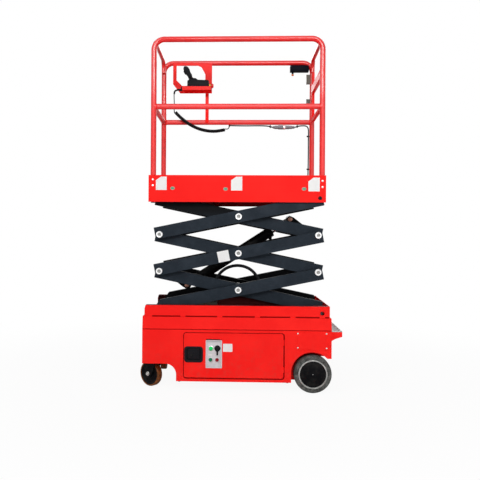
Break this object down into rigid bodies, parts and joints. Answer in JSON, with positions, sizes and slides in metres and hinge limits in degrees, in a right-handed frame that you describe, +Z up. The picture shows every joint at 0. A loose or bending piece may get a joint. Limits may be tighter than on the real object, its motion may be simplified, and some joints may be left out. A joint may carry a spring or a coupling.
{
  "type": "self-propelled scissor lift",
  "caption": "Compact red scissor lift: box chassis with drive wheels and casters, folding arm stack, hydraulic cylinder and a railed work platform with control box.",
  "frame": {"origin": "on the floor under the middle of the machine's bounding box", "axes": "+X towards the entry step at the rear, +Y to the far side away from the camera, +Z up"},
  "size_m": [1.3651, 0.76, 2.3801],
  "materials": {
    "red_paint": "smooth glossy red powder coat",
    "arm_paint": "dark slate-grey satin paint",
    "step_grip": "grey ribbed step plate",
    "zinc_steel": "zinc-plated steel",
    "black_plastic": "moulded black plastic",
    "panel_grey": "light grey switch plate",
    "drive_rubber": "solid grey non-marking rubber, worn",
    "hub_black": "black cover disc with a light ring round it",
    "caster_tread": "orange-brown polyurethane",
    "fork_black": "black painted steel",
    "cast_grey": "grey cast housing",
    "battery_case": "black battery case",
    "barrel_black": "black painted tube",
    "rod_chrome": "hard chrome rod",
    "stop_red": "red knob on a yellow collar",
    "cord_rubber": "black rubber sheath",
    "connector_alloy": "bare aluminium shells"
  },
  "bodies": {
    "chassis": {"chassis_sides": "red_paint", "slide_channels": "red_paint", "arm_deck": "red_paint", "ram_well": "red_paint", "wheel_wells": "red_paint", "chassis_ends": "red_paint", "chassis_floor": "red_paint", "entry_step": "red_paint", "entry_tread": "step_grip", "service_covers": "red_paint", "tie_down_rings": "red_paint", "battery_pack": "battery_case", "pump_unit": "cast_grey", "drive_motors": "cast_grey", "slide_tracks": "zinc_steel", "pivot_pins": "zinc_steel"},
    "door_near": {"door_near": "red_paint", "door_near_latch": "black_plastic", "control_panel": "panel_grey"},
    "door_far": {"door_far": "red_paint", "door_far_latch": "black_plastic"},
    "drive_wheel_near": {"drive_wheel_near_tyre": "drive_rubber", "drive_wheel_near_hub": "hub_black"},
    "drive_wheel_far": {"drive_wheel_far_tyre": "drive_rubber", "drive_wheel_far_hub": "hub_black"},
    "caster_near": {"caster_near_fork": "fork_black"},
    "caster_near_wheel": {"caster_near_tread": "caster_tread", "caster_near_core": "fork_black"},
    "caster_far": {"caster_far_fork": "fork_black"},
    "caster_far_wheel": {"caster_far_tread": "caster_tread", "caster_far_core": "fork_black"},
    "inner_1": {"inner_1_arms": "arm_paint", "inner_1_ties": "arm_paint", "hose_arch": "cord_rubber"},
    "outer_1": {"outer_1_arms": "arm_paint", "outer_1_pins": "zinc_steel"},
    "inner_2": {"inner_2_arms": "arm_paint", "inner_2_ties": "arm_paint"},
    "outer_2": {"outer_2_arms": "arm_paint", "outer_2_pins": "zinc_steel"},
    "inner_3": {"inner_3_arms": "arm_paint", "inner_3_ties": "arm_paint"},
    "outer_3": {"outer_3_arms": "arm_paint", "outer_3_pins": "zinc_steel"},
    "cylinder_rod": {"cylinder_rod": "rod_chrome"},
    "cylinder_barrel": {"cylinder_barrel": "barrel_black"},
    "platform": {"platform_deck": "red_paint", "rail_near": "red_paint", "rail_far": "red_paint", "rail_ends": "red_paint", "gate_hinges": "zinc_steel", "control_bracket": "red_paint", "control_box": "black_plastic", "stop_button": "stop_red", "beacon_box": "black_plastic", "held_cable": "cord_rubber", "cable_connector": "connector_alloy", "control_cord": "cord_rubber", "control_cord_leads": "cord_rubber"},
    "gate": {"gate": "red_paint"}
  },
  "joints": [
    {"name": "lift", "type": "hinge", "parent": "chassis", "child": "inner_1", "pos_m": [0.526, 0, 0.541], "axis": [0, 1, 0], "range_deg": [-8.55, 34]},
    {"name": "fold_1", "type": "hinge", "parent": "inner_1", "child": "outer_1", "pos_m": [-0.00979, 0, 0.66519], "axis": [0, 1, 0], "range_deg": [-68, 17.1]},
    {"name": "fold_2", "type": "hinge", "parent": "outer_1", "child": "inner_2", "pos_m": [0.526, 0, 0.78938], "axis": [0, 1, 0], "range_deg": [-17.1, 68]},
    {"name": "fold_3", "type": "hinge", "parent": "inner_2", "child": "outer_2", "pos_m": [-0.00979, 0, 0.91357], "axis": [0, 1, 0], "range_deg": [-68, 17.1]},
    {"name": "fold_4", "type": "hinge", "parent": "outer_2", "child": "inner_3", "pos_m": [0.526, 0, 1.03776], "axis": [0, 1, 0], "range_deg": [-17.1, 68]},
    {"name": "fold_5", "type": "hinge", "parent": "inner_3", "child": "outer_3", "pos_m": [-0.00979, 0, 1.16195], "axis": [0, 1, 0], "range_deg": [-68, 17.1]},
    {"name": "platform_level", "type": "hinge", "parent": "outer_3", "child": "platform", "pos_m": [0.526, 0, 1.28614], "axis": [0, 1, 0], "range_deg": [-8.55, 34]},
    {"name": "rod_eye", "type": "hinge", "parent": "inner_3", "child": "cylinder_rod", "pos_m": [0.3563, 0, 1.15152], "axis": [0, 1, 0], "range_deg": [-64.28, 16.16]},
    {"name": "cylinder_stroke", "type": "slide", "parent": "cylinder_rod", "child": "cylinder_barrel", "axis": [-0.8385, 0, -0.545], "range_m": [-0.1136, 0.4516]},
    {"name": "door_near_hinge", "type": "hinge", "parent": "chassis", "child": "door_near", "pos_m": [0.2925, -0.371, 0.2395], "axis": [0, 0, 1], "range_deg": [0, 100]},
    {"name": "door_far_hinge", "type": "hinge", "parent": "chassis", "child": "door_far", "pos_m": [0.2925, 0.371, 0.2395], "axis": [0, 0, -1], "range_deg": [0, 100]},
    {"name": "gate_hinge", "type": "hinge", "parent": "platform", "child": "gate", "pos_m": [0.549, 0.236, 2.139], "axis": [0, 0, -1], "range_deg": [0, 90]},
    {"name": "drive_near", "type": "hinge", "parent": "chassis", "child": "drive_wheel_near", "pos_m": [0.484, -0.34, 0.124], "axis": [0, 1, 0], "continuous": true},
    {"name": "drive_far", "type": "hinge", "parent": "chassis", "child": "drive_wheel_far", "pos_m": [0.484, 0.34, 0.124], "axis": [0, 1, 0], "continuous": true},
    {"name": "caster_near_swivel", "type": "hinge", "parent": "chassis", "child": "caster_near", "pos_m": [-0.575, -0.25, 0.195], "axis": [0, 0, 1], "continuous": true},
    {"name": "caster_near_roll", "type": "hinge", "parent": "caster_near", "child": "caster_near_wheel", "pos_m": [-0.60332, -0.22943, 0.086], "axis": [0.5878, 0.809, 0], "continuous": true},
    {"name": "caster_far_swivel", "type": "hinge", "parent": "chassis", "child": "caster_far", "pos_m": [-0.575, 0.25, 0.195], "axis": [0, 0, 1], "continuous": true},
    {"name": "caster_far_roll", "type": "hinge", "parent": "caster_far", "child": "caster_far_wheel", "pos_m": [-0.57622, 0.28498, 0.086], "axis": [0.9994, 0.0349, 0], "continuous": true}
  ],
  "couplings": [
    {"joint": "fold_1", "follows": "lift", "ratio": -2},
    {"joint": "fold_2", "follows": "lift", "ratio": 2},
    {"joint": "fold_3", "follows": "lift", "ratio": -2},
    {"joint": "fold_4", "follows": "lift", "ratio": 2},
    {"joint": "fold_5", "follows": "lift", "ratio": -2},
    {"joint": "platform_level", "follows": "lift", "ratio": 1},
    {"joint": "rod_eye", "follows": "lift", "ratio": -1.8904},
    {"joint": "cylinder_stroke", "follows": "lift", "m_per_rad": 0.761}
  ]
}
